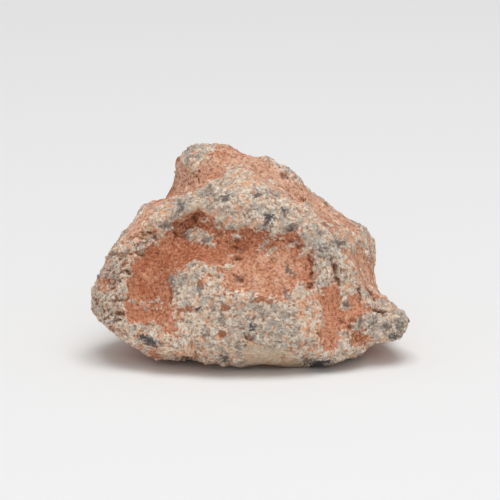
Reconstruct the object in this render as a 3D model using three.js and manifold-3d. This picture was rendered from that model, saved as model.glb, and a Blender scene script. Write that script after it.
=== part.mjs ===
// A fragment of lunar feldspathic breccia: one loose stone with a hollowed front face under a pale brow,
// a valley behind its crest, a blunt back summit, a blunt nose at its right foot and a flat broken underside.
// Millimetres, +Z up. The viewer stands at -Y and looks down on the stone by VIEW_TILT_DEG.
import * as THREE from "three";
import { mergeVertices } from "three/addons/utils/BufferGeometryUtils.js";
import Module from "manifold-3d";

const wasm = await Module();
wasm.setup();

// Driving dimensions. The outlines below are drawn for a stone of this length, from its left tip to its nose.
const LENGTH = 44.6;
const VIEW_TILT_DEG = 15;
const FLOOR_LEVEL = 1.55; // height of the resting plane, from the same point as the outlines
const CELL = 1.1; // size of the mesh's facets
const BLEND = 1.1; // how softly the front and back masses run into each other
const CORE_BLEND = 2.5; // and how softly both run into the core
const EDGE_WEAR = 1.2; // how much the edges of the breaks are worn
const FOOT_HEIGHT = 12; // above this the masses no longer turn over as sharply as at the foot
const THINNEST = 1.5; // a hollow leaves at least this much in front of a mass's widest contour
const RELIEF_REACH = 3; // no relief is worked out further than this from the surface
const WELD = 1e-4; // corners closer than this are one
const RIDGES = { size: 6.5, height: 0.3 };
const LUMPS = { size: 3.1, height: 0.3 };
const KNOBS = { size: 1.9, height: 0.24 };

const STONE_COLOUR = 0xc9a58c;

// Outlines as the viewer sees them: [right, up], from the middle of the stone's length and its lowest point.
const FRONT_OUTLINE = [
  [-22.3, 9.8], [-22.1, 11.3], [-21, 13.3], [-20.2, 15.4], [-19.2, 16.8], [-18.1, 17.9], [-16.8, 19.1],
  [-15.8, 20.7], [-14.8, 21.9], [-13.7, 22.6], [-12.2, 22.9], [-10.8, 23.6], [-9.2, 24.6], [-7.4, 24.9],
  [-6.2, 25.6], [-5, 26.3], [-3.4, 27.3], [-1.7, 27.9], [0, 27.6], [1.8, 26.5], [4.2, 25.1], [6.6, 23.2],
  [9.1, 21.6], [11.5, 19.9], [13.3, 18.2], [14.3, 16.2], [15.1, 14.3], [16.1, 12], [17.5, 10.1],
  [18.7, 9.1], [20, 8.3], [21.2, 7.8], [22.1, 6.9], [22.3, 6.2], [22, 5.2], [21.1, 4.4], [19.9, 3.6],
  [17.2, 3.1], [15.7, 2.1], [14.3, 1.4], [13, 1.1], [10.8, -0.1], [9.4, 0.1], [7.4, 0.2], [3.9, -0.2],
  [2.5, 0.2], [0.8, 0.4], [-1.1, 0.1], [-3.9, 0.4], [-6.3, 0.3], [-8.4, 0.7], [-11.9, 0.8], [-13.3, 1.1],
  [-14.7, 2], [-16.8, 3.2], [-18.3, 3.9], [-19.7, 5.2], [-21, 6.7], [-21.8, 8.4],
];
const BACK_OUTLINE = [
  [-12.2, 22.8], [-11.2, 24.4], [-10.9, 25.8], [-10.5, 27.4], [-10, 28.8], [-9.7, 30.1], [-8.7, 30.9],
  [-7, 31.6], [-5.6, 31.3], [-3.4, 31.2], [-2, 30.6], [-0.4, 29.8], [1.3, 29.5], [2.9, 29.5], [3.8, 28.6],
  [5.3, 27.7], [6.6, 26.5], [7.7, 25.5], [8.4, 24.5], [10.5, 23.1], [12.7, 21.6], [14.7, 20.3], [16.7, 19],
  [17.6, 17.6], [17.9, 16.4], [17.6, 15.1], [17.6, 13.4], [17.8, 11.8], [17.9, 10], [18.2, 8.4], [18.2, 6.7],
  [17.6, 5], [14, 2.9], [7, 1.4], [-1.4, 1.1], [-9.8, 2.2], [-14, 5.7], [-15.2, 12], [-14.2, 17.4],
  [-12.9, 20.7],
];

// The core that both stand on, which fills the valley between them. Its rim stays hidden.
const CORE_OUTLINE = [
  [-21, 10], [-19.3, 14], [-16.3, 17.6], [-13, 20.7], [-9, 22.6], [-5, 24.6], [-1.7, 26], [1.8, 25],
  [6.6, 22], [11.5, 18.9], [14.6, 16.2], [16, 12.6], [17.3, 9], [19.4, 6.8], [19.2, 4.8], [16.5, 3.4],
  [13, 1.8], [8, 1], [-8, 1.2], [-13, 2.3], [-17.5, 4.6], [-20.2, 7],
];

// Each mass is a thick lens inside its outline. middle is the depth of its widest contour at the foot, and lean
// carries that contour back as it climbs. front and back are its thickness either side. Its surface turns
// over within footRound of the outline low down, and within round of it higher up.
const FRONT_MASS = {
  outline: FRONT_OUTLINE, middle: -6, lean: 0.17, front: 6.6, back: 8, footRound: 3, round: 6,
};
const BACK_MASS = {
  outline: BACK_OUTLINE, middle: 8, lean: -0.06, front: 6.2, back: 8, footRound: 6, round: 6,
};
const CORE_MASS = {
  outline: CORE_OUTLINE, middle: 2.8, lean: 0.05, front: 6.5, back: 8.5, footRound: 4, round: 3.6,
};

// What swells (rise above 0) or hollows (below 0) a mass's front. at is [right, up], size the half-lengths
// along and across, and turn the angle of the long half in degrees, anticlockwise. A higher sharp gives
// steeper sides.
const FRONT_FORMS = [
  { name: "foot mound", at: [-1.2, 5.6], size: [10.4, 5.2], turn: -3, rise: 1.5, sharp: 2.4 },
  { name: "belly of the mound", at: [1.5, 4], size: [8, 4], turn: 0, rise: 1.1, sharp: 1 },
  { name: "brow over the hollow", at: [-5, 22.4], size: [7, 2], turn: 14, rise: 1.5, sharp: 1.4 },
  { name: "brow running right", at: [6, 19.6], size: [7, 2.6], turn: -32, rise: 1, sharp: 1.2 },
  { name: "left rim", at: [-19, 11.5], size: [6, 2], turn: 72, rise: 0.8, sharp: 2 },
  { name: "lower left rim", at: [-14.5, 4.2], size: [5.5, 1.7], turn: -24, rise: 1, sharp: 2 },
  { name: "right rim", at: [10.8, 15.6], size: [4.2, 2], turn: -70, rise: 1.1, sharp: 1.6 },
  { name: "upper left hollow", at: [-10.5, 17.6], size: [7, 2.8], turn: 24, rise: -3, sharp: 1.3 },
  { name: "hole under the brow", at: [-8.4, 20.3], size: [3.2, 1.4], turn: 12, rise: -2, sharp: 1.5 },
  { name: "left hollow", at: [-14.2, 10.6], size: [5.6, 2.9], turn: 82, rise: -2.4, sharp: 1.8 },
  { name: "middle hollow", at: [1.5, 16.4], size: [7.8, 2.6], turn: -6, rise: -2.1, sharp: 1.2 },
  { name: "right hollow", at: [11.2, 6.9], size: [4.8, 2], turn: 84, rise: -1.1, sharp: 2 },
  { name: "hollow by the nose", at: [14.6, 8.2], size: [2.2, 1.5], turn: 20, rise: -0.8, sharp: 2 },
  { name: "neck under the nose", at: [15.5, 4.2], size: [3.2, 1.6], turn: 25, rise: -1.5, sharp: 1 },
  { name: "thin nose", at: [20.5, 6], size: [4, 4], turn: 0, rise: -2.6, sharp: 1 },
  { name: "thin left tip", at: [-21.5, 10], size: [3, 6], turn: 0, rise: -1.4, sharp: 1 },
  { name: "pit under the crest", at: [1, 24], size: [0.9, 0.6], turn: -15, rise: -0.8, sharp: 1 },
  { name: "pit in the brow", at: [2.8, 20.8], size: [1.1, 0.8], turn: -50, rise: -1.3, sharp: 1 },
  { name: "pit right of the brow", at: [6.6, 17.2], size: [1, 0.7], turn: -20, rise: -0.9, sharp: 1 },
  { name: "pit in the middle", at: [-1.9, 16.2], size: [1.2, 0.7], turn: 10, rise: -0.9, sharp: 1 },
  { name: "pit on the terrace", at: [-1.6, 12.4], size: [1, 0.7], turn: -35, rise: -1, sharp: 1 },
  { name: "slit at the terrace end", at: [8.4, 14.1], size: [1.7, 0.7], turn: 95, rise: -1.2, sharp: 1 },
  { name: "slit in the right rim", at: [11.7, 12.9], size: [1.9, 0.6], turn: 105, rise: -1.1, sharp: 1 },
  { name: "crack towards the nose", at: [18, 8.6], size: [1.6, 0.6], turn: -45, rise: -0.7, sharp: 1 },
  { name: "upper crack in the left rim", at: [-15, 18.2], size: [2.3, 0.6], turn: 12, rise: -1, sharp: 1 },
  { name: "lower crack in the left rim", at: [-16.8, 15.7], size: [2.3, 0.6], turn: 3, rise: -0.9, sharp: 1 },
  { name: "pit in the left rim", at: [-18.8, 11], size: [1, 1.8], turn: 0, rise: -0.9, sharp: 1 },
];
const BACK_FORMS = [
  { name: "summit knuckle", at: [-7.6, 29], size: [2.6, 2], turn: 60, rise: 0.9, sharp: 1 },
  { name: "dip beside the summit", at: [-9.5, 26], size: [1.8, 3], turn: 0, rise: -0.8, sharp: 1 },
  { name: "long valley", at: [6, 23], size: [10, 1.6], turn: -34, rise: -0.9, sharp: 1 },
  { name: "right flank", at: [15.4, 13.4], size: [3.6, 2], turn: 80, rise: -0.8, sharp: 1.2 },
];

// Flat breaks behind and below, where nothing shows from the front: the stone ends at each of these planes.
const BREAKS = [
  { name: "back break", through: [0, 16.6, 12], facing: [-0.12, 1, 0.1] },
  { name: "upper back break", through: [-3, 15.8, 26.4], facing: [0.12, 0.78, 0.6] },
  { name: "right back break", through: [16.8, 13.6, 10], facing: [0.74, 0.66, 0.08] },
  { name: "left back break", through: [-14.6, 11.4, 12], facing: [-0.74, 0.66, 0.1] },
  { name: "far left break", through: [-20.2, 4.8, 9], facing: [-0.9, 0.45, 0.1] },
  { name: "left under break", through: [-16.6, 3.4, 3.6], facing: [-0.5, 0.25, -0.83] },
  { name: "back under break", through: [2, 14.6, 3.5], facing: [0.1, 0.75, -0.65] },
];

// Spoon-shaped scars behind: each is the bite of a ball.
const SCARS = [
  { name: "back scar", at: [-3, 27.4, 15], radius: 13 },
  { name: "lower right scar", at: [14, 21, 2], radius: 9.4 },
  { name: "left scar", at: [-24.5, 14.5, 17], radius: 9.8 },
];

const tilt = THREE.MathUtils.degToRad(VIEW_TILT_DEG);
const SIN = Math.sin(tilt);
const COS = Math.cos(tilt);

/** A repeatable number from 0 to 1 for a corner of an endless grid. */
function cornerValue(i, j, k) {
  let h = Math.imul(i, 0x27d4eb2f) ^ Math.imul(j, 0x165667b1) ^ Math.imul(k, 0x9e3779b1);
  h = Math.imul(h ^ (h >>> 15), 0x85ebca6b);
  h = Math.imul(h ^ (h >>> 13), 0xc2b2ae35);
  return ((h ^ (h >>> 16)) >>> 0) / 4294967296;
}

const ease = (t) => t * t * (3 - 2 * t);

/** Soft lumps of about the given size, from -1 to 1. */
function lumps(p, size) {
  const [x, y, z] = [p.x / size, p.y / size, p.z / size];
  const [i, j, k] = [Math.floor(x), Math.floor(y), Math.floor(z)];
  const [u, v, w] = [ease(x - i), ease(y - j), ease(z - k)];
  let sum = 0;
  for (let c = 0; c < 8; c++) {
    const [a, b, e] = [c & 1, (c >> 1) & 1, c >> 2];
    sum += cornerValue(i + a, j + b, k + e) * (a ? u : 1 - u) * (b ? v : 1 - v) * (e ? w : 1 - w);
  }
  return sum * 2 - 1;
}

/** The outline as a closed smooth curve, cut into short straight steps. */
function outlineSteps(points) {
  const curve = new THREE.CatmullRomCurve3(
    points.map(([x, up]) => new THREE.Vector3(x, up, 0)),
    true,
    "centripetal",
  );
  return curve.getPoints(points.length * 2).slice(0, -1);
}

/** How far a seen point lies inside the outline; negative outside it. */
function insideBy(steps, x, up) {
  let nearest = Infinity;
  let inside = false;
  for (let n = 0, m = steps.length - 1; n < steps.length; m = n++) {
    const [a, b] = [steps[n], steps[m]];
    const [ex, ey] = [b.x - a.x, b.y - a.y];
    const t = THREE.MathUtils.clamp(((x - a.x) * ex + (up - a.y) * ey) / (ex * ex + ey * ey), 0, 1);
    nearest = Math.min(nearest, Math.hypot(x - a.x - t * ex, up - a.y - t * ey));
    if (a.y > up !== b.y > up && x < (ex * (up - a.y)) / ey + a.x) inside = !inside;
  }
  return inside ? nearest : -nearest;
}

/** The sum of the named forms at a seen point. */
function formsAt(forms, x, up) {
  let rise = 0;
  for (const form of forms) {
    const turn = THREE.MathUtils.degToRad(form.turn);
    const [dx, dy] = [x - form.at[0], up - form.at[1]];
    const along = (dx * Math.cos(turn) + dy * Math.sin(turn)) / form.size[0];
    const across = (dy * Math.cos(turn) - dx * Math.sin(turn)) / form.size[1];
    rise += form.rise * Math.exp(-((along * along + across * across) ** form.sharp));
  }
  return rise;
}

/** Distance from a lens-shaped mass, about right near its surface; negative inside. */
function massDistance(mass, seen, forms) {
  const inside = insideBy(mass.steps, seen.x, seen.y);
  const climb = THREE.MathUtils.smoothstep(seen.y, 0, FOOT_HEIGHT);
  const round = THREE.MathUtils.lerp(mass.footRound, mass.round, climb);
  const edge = Math.max(0, 1 - inside / round);
  const middle = mass.middle + mass.lean * seen.y;
  const front = Math.max(THINNEST, mass.front + formsAt(forms, seen.x, seen.y));
  const thickness = seen.z > middle ? mass.back : front;
  const level = (seen.z - middle) / thickness;
  const reach = Math.hypot(edge, level);
  const steepness = Math.hypot(edge / round, level / thickness) / Math.max(reach, WELD);
  return (reach - 1) / Math.max(steepness, 1 / mass.back);
}

/** Two distances joined with a soft fillet. */
function joined(a, b, soft) {
  const h = THREE.MathUtils.clamp(0.5 + (0.5 * (b - a)) / soft, 0, 1);
  return b + (a - b) * h - soft * h * (1 - h);
}

/** One distance cut back by another with a softened edge. */
const cutBack = (a, b, soft) => -joined(-a, -b, soft);

/** The stone's fine relief: blunt ridges, and lumps at two sizes. */
function relief(p) {
  const ridges = 0.5 - 2 * Math.abs(lumps(p, RIDGES.size));
  return RIDGES.height * ridges + LUMPS.height * lumps(p, LUMPS.size) + KNOBS.height * lumps(p, KNOBS.size);
}

/** Distance from the stone's surface at a point of the part's own frame. */
function stoneDistance(p) {
  const seen = new THREE.Vector3(p.x, p.z * COS + p.y * SIN, p.y * COS - p.z * SIN);
  const front = massDistance(FRONT_MASS, seen, FRONT_FORMS);
  const back = massDistance(BACK_MASS, seen, BACK_FORMS);
  const core = massDistance(CORE_MASS, seen, []);
  let distance = joined(joined(front, back, BLEND), core, CORE_BLEND);
  for (const { through, facing } of BREAKS) {
    const normal = new THREE.Vector3(...facing).normalize();
    distance = cutBack(distance, normal.dot(p.clone().sub(new THREE.Vector3(...through))), EDGE_WEAR);
  }
  for (const { at, radius } of SCARS) {
    distance = cutBack(distance, radius - p.distanceTo(new THREE.Vector3(...at)), EDGE_WEAR);
  }
  return Math.abs(distance) > RELIEF_REACH ? distance : distance + relief(p);
}

/** The corners of a grid cell, and the pairs of corners that its edges join. */
function cellShape() {
  const corners = [];
  const edges = [];
  for (let c = 0; c < 8; c++) {
    corners.push([c & 1, (c >> 1) & 1, c >> 2]);
    for (const bit of [1, 2, 4]) {
      if (!(c & bit)) edges.push([c, c | bit]);
    }
  }
  return { corners, edges };
}

/** Where a surface crosses a cell on average, in cells from its low corner; null where it doesn't. */
function crossingIn({ corners, edges }, values) {
  const middle = new THREE.Vector3();
  let crossings = 0;
  for (const [a, b] of edges) {
    if (values[a] < 0 === values[b] < 0) continue;
    const along = values[a] / (values[a] - values[b]);
    middle.add(new THREE.Vector3(...corners[a]).lerp(new THREE.Vector3(...corners[b]), along));
    crossings++;
  }
  return crossings ? middle.divideScalar(crossings) : null;
}

/** A closed mesh on the surface where distance is 0, one vertex to each grid cell that the surface crosses. */
function meshOf(distance, low, high, cell) {
  const count = high.clone().sub(low).divideScalar(cell).ceil();
  const [nx, ny, nz] = [count.x + 1, count.y + 1, count.z + 1];
  const at = (i, j, k) => i + nx * (j + ny * k);
  const place = (i, j, k) => new THREE.Vector3(i, j, k).multiplyScalar(cell).add(low);
  const eachCell = (first, visit) => {
    for (let k = first; k < nz - 1; k++)
      for (let j = first; j < ny - 1; j++)
        for (let i = first; i < nx - 1; i++) visit(i, j, k);
  };
  const values = new Float64Array(nx * ny * nz);
  for (let k = 0; k < nz; k++)
    for (let j = 0; j < ny; j++)
      for (let i = 0; i < nx; i++) values[at(i, j, k)] = distance(place(i, j, k));

  const shape = cellShape();
  const positions = [];
  const vertexOf = new Map();
  eachCell(0, (i, j, k) => {
    const crossing = crossingIn(shape, shape.corners.map(([a, b, c]) => values[at(i + a, j + b, k + c)]));
    if (!crossing) return;
    vertexOf.set(at(i, j, k), positions.length / 3);
    positions.push(...crossing.multiplyScalar(cell).add(place(i, j, k)));
  });

  // Four cells meet at each grid edge that the surface crosses. Their vertices make two triangles, split
  // along the shorter diagonal.
  const indices = [];
  const quad = (a, b, c, d, turned) => {
    const [p, q, r, s] = [a, b, c, d].map((n) => new THREE.Vector3().fromArray(positions, 3 * n));
    const [e, f] = turned ? [b, d] : [d, b];
    if (p.distanceTo(r) < q.distanceTo(s)) indices.push(a, e, c, a, c, f);
    else indices.push(a, e, f, e, c, f);
  };
  const strides = [at(1, 0, 0), at(0, 1, 0), at(0, 0, 1)];
  eachCell(1, (i, j, k) => {
    const here = at(i, j, k);
    const inside = values[here] < 0;
    for (let axis = 0; axis < 3; axis++) {
      if (inside === values[here + strides[axis]] < 0) continue;
      const [u, v] = [strides[(axis + 1) % 3], strides[(axis + 2) % 3]];
      const ring = [here, here - u, here - u - v, here - v].map((n) => vertexOf.get(n));
      quad(...ring, inside);
    }
  });
  const geometry = new THREE.BufferGeometry();
  geometry.setAttribute("position", new THREE.Float32BufferAttribute(positions, 3));
  geometry.setIndex(indices);
  return geometry;
}

/** A manifold-3d solid from a closed three.js geometry. */
function solidOf(geometry) {
  const bare = geometry.clone();
  bare.deleteAttribute("normal");
  bare.deleteAttribute("uv");
  const merged = mergeVertices(bare, WELD);
  return new wasm.Manifold(
    new wasm.Mesh({
      numProp: 3,
      vertProperties: merged.attributes.position.array,
      triVerts: new Uint32Array(merged.index.array),
    }),
  );
}

/** A three.js geometry from a manifold-3d solid. */
function geometryOf(solid) {
  const mesh = solid.getMesh();
  const geometry = new THREE.BufferGeometry();
  geometry.setAttribute("position", new THREE.BufferAttribute(mesh.vertProperties, 3));
  geometry.setIndex(new THREE.BufferAttribute(mesh.triVerts, 1));
  geometry.computeVertexNormals();
  return geometry;
}

/** The stone, cut flat where it rests, with its origin under the middle of its box. */
function stoneGeometry() {
  for (const mass of [FRONT_MASS, BACK_MASS, CORE_MASS]) mass.steps = outlineSteps(mass.outline);
  const low = new THREE.Vector3(-0.57, -0.45, -0.13).multiplyScalar(LENGTH);
  const high = new THREE.Vector3(0.57, 0.54, 0.74).multiplyScalar(LENGTH);
  const whole = solidOf(meshOf(stoneDistance, low, high, CELL));

  const floor = new THREE.BoxGeometry(4 * LENGTH, 4 * LENGTH, LENGTH);
  floor.translate(0, 0, FLOOR_LEVEL - LENGTH / 2);
  const geometry = geometryOf(whole.subtract(solidOf(floor)));

  geometry.computeBoundingBox();
  const { min, max } = geometry.boundingBox;
  return geometry.translate(-(min.x + max.x) / 2, -(min.y + max.y) / 2, -min.z);
}

const stone = new THREE.Mesh(
  stoneGeometry(),
  new THREE.MeshStandardMaterial({ color: STONE_COLOUR, roughness: 0.9, metalness: 0 }),
);
stone.name = "meteorite";

const part = new THREE.Group();
part.add(stone);
export default part;
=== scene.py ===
import logging
import math
from dataclasses import dataclass, replace
from enum import Enum
from typing import Any, Union

import bpy
import numpy as np
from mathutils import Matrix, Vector, noise


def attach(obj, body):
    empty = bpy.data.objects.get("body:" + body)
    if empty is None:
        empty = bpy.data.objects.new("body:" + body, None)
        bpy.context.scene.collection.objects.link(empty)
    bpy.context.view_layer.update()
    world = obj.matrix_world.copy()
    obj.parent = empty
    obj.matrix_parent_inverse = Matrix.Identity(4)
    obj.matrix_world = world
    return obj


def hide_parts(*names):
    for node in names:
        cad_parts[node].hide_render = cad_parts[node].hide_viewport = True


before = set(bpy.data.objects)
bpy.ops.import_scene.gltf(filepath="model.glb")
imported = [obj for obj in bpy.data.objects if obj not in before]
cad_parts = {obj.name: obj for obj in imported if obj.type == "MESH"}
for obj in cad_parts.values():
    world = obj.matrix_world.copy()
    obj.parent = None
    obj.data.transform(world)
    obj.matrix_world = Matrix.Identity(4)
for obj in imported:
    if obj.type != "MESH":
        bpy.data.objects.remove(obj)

log = logging.getLogger("stone")

MM = 0.001
PIXEL = 0.14
PICTURE_PIXELS = 500
STONE_NODE = "meteorite"
VIEW_TILT = math.radians(15.0)
TOWARDS_VIEWER = np.array([0.0, -math.cos(VIEW_TILT), math.sin(VIEW_TILT)])

Pair = tuple[float, float]
Triple = tuple[float, float, float]
Outline = tuple[Pair, ...]


# The photographed view

@dataclass(frozen=True)
class SeenPlane:
    """The upright plane of the picture, in its pixels, and how the stone's own points fall on it.

    middle is where the stone's origin falls, and pixel is the size of one pixel on the stone, in millimetres.
    """

    middle: Pair = (250.0, 350.0)
    pixel: float = PIXEL

    def across(self, points: np.ndarray) -> np.ndarray:
        """Where points of the stone fall in the picture.

        Args:
            points: positions in millimetres, one row each.

        Returns:
            Picture positions in pixels, right and down, one row each.
        """
        up = points[:, 2] * math.cos(VIEW_TILT) + points[:, 1] * math.sin(VIEW_TILT)
        right = self.middle[0] + points[:, 0] / self.pixel
        down = self.middle[1] - up / self.pixel
        return np.stack([right, down], axis=1)


def inside_by(outline: Outline, seen: np.ndarray) -> np.ndarray:
    """How far picture points lie inside an outline.

    Args:
        outline: its corners in pixels, in order.
        seen: picture positions in pixels, one row each.

    Returns:
        Distances in pixels, negative outside.
    """
    corners = np.array(outline, float)
    nearest = np.full(len(seen), np.inf)
    inside = np.zeros(len(seen), bool)
    for start, end in zip(corners, np.roll(corners, -1, axis=0)):
        run = end - start
        away = seen - start
        along = np.clip(away @ run / (run @ run), 0.0, 1.0)
        nearest = np.minimum(nearest, np.linalg.norm(away - along[:, None] * run, axis=1))
        straddles = (start[1] > seen[:, 1]) != (end[1] > seen[:, 1])
        rise = run[1] if run[1] else 1.0
        inside ^= straddles & (seen[:, 0] < start[0] + (seen[:, 1] - start[1]) * run[0] / rise)
    return np.where(inside, nearest, -nearest)


class Cover(Enum):
    """What a patch of the surface is covered with."""

    COATING = "orange coating"
    CRUST = "pale crust"


@dataclass(frozen=True)
class Patch:
    """A patch of one cover, by its outline in the picture's pixels."""

    name: str
    cover: Cover
    outline: Outline


@dataclass(frozen=True)
class Area:
    """A soft-edged area, by its outline in the picture's pixels.

    strength is how strongly it shows, from -1 to 1, and edge how far it fades to each side of its outline.
    """

    name: str
    outline: Outline
    strength: float = 1.0
    edge: float = 4.0


@dataclass(frozen=True)
class Trait:
    """Something that the surface shows in some areas of the picture.

    Noise takes their place on the hidden sides: behind is how strong it is, and seed where it is taken from.
    """

    areas: tuple[Area, ...]
    seed: float = 0.0
    behind: float = 1.2


@dataclass(frozen=True)
class Spot:
    """An elongated spot in the picture: a clast, a pit or a stretch of crack.

    right and down place its middle, and long and wide are its half-lengths, all in pixels. turn is the angle
    of its long half in degrees, anticlockwise, and strength runs from 0 to 1.
    """

    right: float
    down: float
    long: float
    wide: float
    turn: float = 0.0
    strength: float = 1.0

    def inside_by(self, seen: np.ndarray) -> np.ndarray:
        """How far picture points lie inside the spot.

        Args:
            seen: picture positions in pixels, one row each.

        Returns:
            About the distance in pixels, negative outside.
        """
        turn = math.radians(self.turn)
        right, down = (seen - np.array((self.right, self.down))).T
        along = (right * math.cos(turn) - down * math.sin(turn)) / self.long
        across = (right * math.sin(turn) + down * math.cos(turn)) / self.wide
        return (1.0 - np.hypot(along, across)) * min(self.long, self.wide)


@dataclass(frozen=True)
class SpotKind:
    """Spots of one kind in the picture.

    fade is from how far outside its outline to how far inside a spot fades in, in pixels. Noise takes their
    place on the hidden sides: rarity is how high it has to be for one to show, and seed where it is from.
    """

    spots: tuple[Spot, ...]
    fade: Pair
    seed: float
    rarity: float


PATCHES = (
    Patch("back block", Cover.COATING, (
        (160, 204), (168, 196), (172, 184), (176, 168), (181, 164), (185, 170), (196, 171), (201, 166),
        (206, 160), (209, 154), (215, 151), (221, 147), (232, 146), (242, 150), (262, 154), (264, 161),
        (274, 163), (282, 173), (290, 181), (304, 184), (316, 192), (334, 205), (346, 217), (356, 224),
        (360, 231), (352, 235), (340, 231), (330, 227), (318, 216), (302, 205), (287, 196), (268, 184),
        (256, 176), (246, 168), (236, 164), (226, 165), (221, 175), (210, 180), (204, 185), (190, 189),
        (178, 194), (166, 202),
    )),
    Patch("left shoulder", Cover.COATING, (
        (116, 246), (126, 234), (136, 218), (144, 207), (152, 202), (166, 201), (157, 208), (150, 214),
        (143, 224), (134, 236), (124, 243),
    )),
    Patch("brow pocket", Cover.COATING, (
        (173, 222), (185, 220), (190, 216), (199, 211), (204, 210), (211, 218), (216, 226), (222, 231),
        (246, 229), (263, 230), (270, 238), (282, 236), (288, 228), (299, 228), (302, 240), (301, 254),
        (310, 256), (313, 268), (311, 277), (314, 284), (300, 283), (290, 291), (288, 300), (268, 299),
        (254, 291), (242, 289), (226, 291), (220, 284), (226, 274), (222, 267), (210, 268), (204, 261),
        (196, 258), (188, 262), (178, 269), (172, 274), (172, 300), (177, 306), (174, 316), (180, 331),
        (170, 332), (163, 322), (140, 323), (128, 319), (125, 306), (128, 292), (129, 280), (135, 272),
        (131, 258), (140, 257), (148, 245), (164, 239), (172, 231),
    )),
    Patch("pale island", Cover.CRUST, (
        (184, 232), (190, 228), (200, 226), (208, 231), (215, 239), (211, 246), (203, 243), (194, 240),
        (186, 238),
    )),
    Patch("island right of the brow", Cover.CRUST, (
        (263, 231), (274, 230), (274, 237), (268, 243), (263, 241),
    )),
    Patch("right strip", Cover.COATING, (
        (320, 288), (330, 284), (339, 284), (341, 306), (346, 309), (349, 294), (355, 294), (363, 300),
        (366, 307), (376, 308), (365, 313), (363, 318), (355, 319), (352, 327), (342, 329), (338, 338),
        (334, 348), (324, 349), (318, 344), (321, 322),
    )),
    Patch("under the nose", Cover.COATING, ((350, 328), (362, 331), (371, 339), (363, 346), (354, 342))),
    Patch("right flank", Cover.COATING, (
        (344, 250), (350, 247), (366, 248), (370, 256), (375, 268), (377, 284), (384, 299), (376, 297),
        (364, 284), (356, 276), (350, 264), (345, 258),
    )),
    Patch("left tip", Cover.COATING, ((97, 279), (100, 275), (105, 280), (107, 287), (102, 289))),
    Patch("lower left edge", Cover.COATING, ((139, 343), (149, 348), (160, 350), (163, 357), (153, 358))),
    Patch("knob on the back ridge", Cover.CRUST, ((262, 154), (274, 153), (276, 162), (264, 162))),
    Patch("back ridge edge", Cover.CRUST, (
        (268, 163), (280, 160), (292, 166), (304, 180), (298, 183), (288, 180), (278, 168),
    )),
)

STREAKED = Trait((
    Area("band behind the crest", (
        (236, 163), (262, 160), (280, 172), (310, 190), (345, 216), (372, 236), (350, 240), (322, 228),
        (300, 215), (278, 205), (252, 196), (246, 180),
    )),
), behind=0.0)

# Where the coating and the crust run into each other without a clear edge
MINGLED = Trait((
    Area("top left of the mound", (
        (206, 270), (222, 262), (236, 272), (246, 288), (236, 300), (216, 298), (204, 286),
    ), 0.75, 6.0),
    Area("top of the mound", (
        (246, 286), (262, 290), (290, 290), (316, 282), (322, 300), (290, 304), (252, 300),
    ), 0.6, 5.0),
    Area("left of the strip", (
        (302, 286), (322, 290), (322, 344), (300, 350), (296, 330), (306, 310),
    ), 0.55, 6.0),
    Area("foot of the left hollow", (
        (168, 316), (184, 318), (196, 340), (190, 358), (172, 350), (160, 330),
    ), 0.75, 6.0),
    Area("left rim", ((96, 280), (116, 254), (130, 262), (124, 300), (128, 322), (106, 320)), 0.45, 6.0),
    Area("under the neck", ((346, 318), (372, 318), (372, 344), (350, 346)), 0.5, 5.0),
    Area("edge of the brow", (
        (228, 220), (262, 222), (300, 224), (304, 252), (262, 246), (232, 238),
    ), 0.5, 5.0),
), seed=44.0, behind=2.0)

# How pale the coating is, or how deep its colour where the strength is below 0, and how much lighter or
# darker the crust is; partly the stone's own tone, partly painted light and shade: darker in the hollows,
# lighter on the back flank, and lighter or darker over whole areas of the crust such as the brow and the
# mound
TONE_AND_PAINTED_LIGHT = Trait((
    Area("left shoulder", (
        (116, 247), (126, 234), (136, 217), (146, 204), (166, 199), (158, 211), (146, 226), (128, 244),
    ), 1.0),
    Area("terrace", (
        (228, 262), (262, 250), (296, 254), (308, 270), (300, 288), (262, 298), (240, 288),
    ), 0.4, 8.0),
    Area("right flank", ((344, 250), (368, 246), (378, 280), (384, 300), (360, 284)), 0.6, 5.0),
    Area("back block", (
        (220, 144), (262, 152), (300, 180), (352, 222), (356, 236), (240, 172), (214, 164),
    ), 0.7, 6.0),
    # Painted light: lightens the back flank where the stone's own shape shades it
    Area("back flank", ((178, 164), (216, 156), (214, 184), (174, 198)), 0.8, 5.0),
    Area("summit", ((180, 150), (196, 140), (208, 146), (204, 164), (184, 168)), 0.2, 3.0),
    Area("brow", ((200, 190), (262, 180), (300, 200), (300, 225), (262, 228), (205, 222)), 0.45, 6.0),
    Area("mound", ((206, 296), (250, 302), (300, 300), (308, 340), (240, 346), (204, 330)), -0.5, 8.0),
    Area("left rim", ((94, 300), (112, 252), (134, 234), (126, 262), (122, 318), (106, 320)), -0.3, 5.0),
    Area("right rim", (
        (310, 256), (334, 256), (348, 278), (370, 300), (340, 290), (318, 284),
    ), -0.15, 5.0),
    Area("foot of the mound", ((242, 350), (268, 343), (300, 358), (290, 367), (246, 362)), -0.4, 5.0),
    Area("lower left", (
        (104, 322), (130, 326), (176, 340), (196, 356), (150, 356), (116, 336),
    ), 0.7, 5.0),
    Area("nose", ((364, 322), (392, 306), (410, 318), (398, 336), (364, 344)), 0.4, 5.0),
    # Painted shade: these three areas darken the coating in the hollows, where shade falls
    Area("left hollow", (
        (140, 250), (192, 240), (210, 256), (180, 276), (176, 316), (134, 326), (128, 290),
    ), -0.45, 10.0),
    Area("hollow under the brow", (
        (176, 212), (212, 214), (236, 232), (300, 228), (300, 246), (212, 262),
    ), -0.6, 8.0),
    Area("top of the left hollow", (
        (146, 248), (180, 232), (206, 246), (206, 262), (170, 268), (140, 266),
    ), -0.5, 6.0),
), seed=99.0)

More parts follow.
